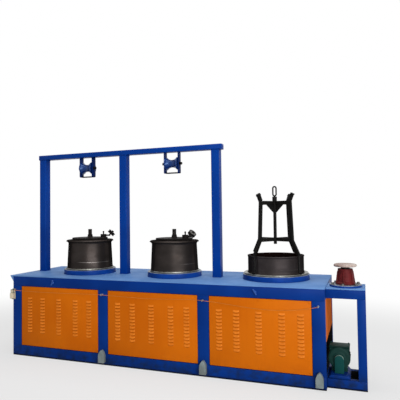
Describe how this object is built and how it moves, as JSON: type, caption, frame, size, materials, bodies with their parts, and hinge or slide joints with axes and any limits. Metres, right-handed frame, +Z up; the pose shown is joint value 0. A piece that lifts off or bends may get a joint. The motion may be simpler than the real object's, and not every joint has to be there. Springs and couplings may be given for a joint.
{
  "type": "wire drawing machine",
  "caption": "Bench-type wire drawing machine: louvred cabinet with upright drums, overhead guide rollers, a finishing block with stripper frame and a side table over the motor.",
  "frame": {"origin": "centre of the bounding box in plan, on the floor", "axes": "+X along the line from the left end towards the side table, +Y from the front towards the back, +Z up"},
  "size_m": [3.677, 0.951, 2.227],
  "materials": {
    "blue_paint": "satin blue enamel",
    "orange_paint": "satin orange enamel on pressed sheet",
    "dark_cast_iron": "dark oiled cast iron, scuffed",
    "steel": "turned steel",
    "black_paint": "black paint, worn",
    "red_paint": "red primer on a casting",
    "worn_steel": "worn and stained steel",
    "green_paint": "dull green machine paint",
    "grey_paint": "grey paint",
    "beige_plastic": "matte"
  },
  "bodies": {
    "machine_frame": {"bottom_rails": "blue_paint", "top_rails": "blue_paint", "cross_rails": "blue_paint", "cabinet_posts": "blue_paint", "top_plate": "blue_paint", "overhead_posts": "blue_paint", "overhead_beam": "blue_paint", "guide_brackets": "blue_paint", "drum_seats": "blue_paint", "side_table_top": "blue_paint", "side_table_rails": "blue_paint", "side_table_posts": "blue_paint", "side_spindle_flange": "blue_paint", "motor_base": "blue_paint", "front_panel_1": "orange_paint", "front_panel_2": "orange_paint", "front_panel_3": "orange_paint", "rear_panels": "orange_paint", "left_end_panel": "orange_paint", "right_end_panel": "orange_paint", "side_spindle_housing": "red_paint", "motor": "green_paint", "motor_pedestal": "green_paint", "foot_covers": "grey_paint", "stop_switch": "beige_plastic", "stop_wire": "steel", "wire_eyelets": "steel"},
    "drum_1_body": {"drum_1": "dark_cast_iron", "spindle_1": "steel"},
    "drum_2_body": {"drum_2": "dark_cast_iron", "spindle_2": "steel"},
    "finishing_block_body": {"drum_3": "dark_cast_iron", "spindle_3": "steel"},
    "turntable_1_body": {"turntable_1": "dark_cast_iron", "guide_arm_1": "dark_cast_iron"},
    "turntable_2_body": {"turntable_2": "dark_cast_iron", "guide_arm_2": "dark_cast_iron"},
    "sheave_1_body": {"sheave_1": "dark_cast_iron"},
    "sheave_2_body": {"sheave_2": "dark_cast_iron"},
    "guide_roller_1_body": {"guide_roller_1": "blue_paint"},
    "guide_roller_2_body": {"guide_roller_2": "blue_paint"},
    "stripper_body": {"stripper_legs": "black_paint", "stripper_braces": "black_paint", "lifting_link": "black_paint"},
    "side_disc_body": {"side_spindle_disc": "worn_steel"}
  },
  "joints": [
    {"name": "drum_1_spin", "type": "hinge", "parent": "machine_frame", "child": "drum_1_body", "pos_m": [-1.112, 0.0255, 0.917], "axis": [0, 0, 1], "continuous": true},
    {"name": "drum_2_spin", "type": "hinge", "parent": "machine_frame", "child": "drum_2_body", "pos_m": [-0.064, 0.0255, 0.917], "axis": [0, 0, 1], "continuous": true},
    {"name": "finishing_block_spin", "type": "hinge", "parent": "machine_frame", "child": "finishing_block_body", "pos_m": [1.0055, 0.0815, 0.917], "axis": [0, 0, 1], "continuous": true},
    {"name": "turntable_1_spin", "type": "hinge", "parent": "drum_1_body", "child": "turntable_1_body", "pos_m": [-1.112, 0.0255, 1.24], "axis": [0, 0, 1], "continuous": true},
    {"name": "sheave_1_spin", "type": "hinge", "parent": "turntable_1_body", "child": "sheave_1_body", "pos_m": [-0.89816, 0.13446, 1.305], "axis": [0.63, 0.321, 0.7071], "continuous": true},
    {"name": "turntable_2_spin", "type": "hinge", "parent": "drum_2_body", "child": "turntable_2_body", "pos_m": [-0.064, 0.0255, 1.24], "axis": [0, 0, 1], "continuous": true},
    {"name": "sheave_2_spin", "type": "hinge", "parent": "turntable_2_body", "child": "sheave_2_body", "pos_m": [0.16551, -0.04467, 1.305], "axis": [0.6762, -0.2067, 0.7071], "continuous": true},
    {"name": "guide_roller_1_spin", "type": "hinge", "parent": "machine_frame", "child": "guide_roller_1_body", "pos_m": [-1.1415, 0.0255, 2.05], "axis": [1, 0, 0], "continuous": true},
    {"name": "guide_roller_2_spin", "type": "hinge", "parent": "machine_frame", "child": "guide_roller_2_body", "pos_m": [-0.0785, 0.0255, 2.05], "axis": [1, 0, 0], "continuous": true},
    {"name": "stripper_lift", "type": "slide", "parent": "finishing_block_body", "child": "stripper_body", "axis": [0, 0, 1], "range_m": [0, 0.4]},
    {"name": "side_disc_spin", "type": "hinge", "parent": "machine_frame", "child": "side_disc_body", "pos_m": [1.6735, -0.193, 1.025], "axis": [0, 0, 1], "continuous": true}
  ]
}
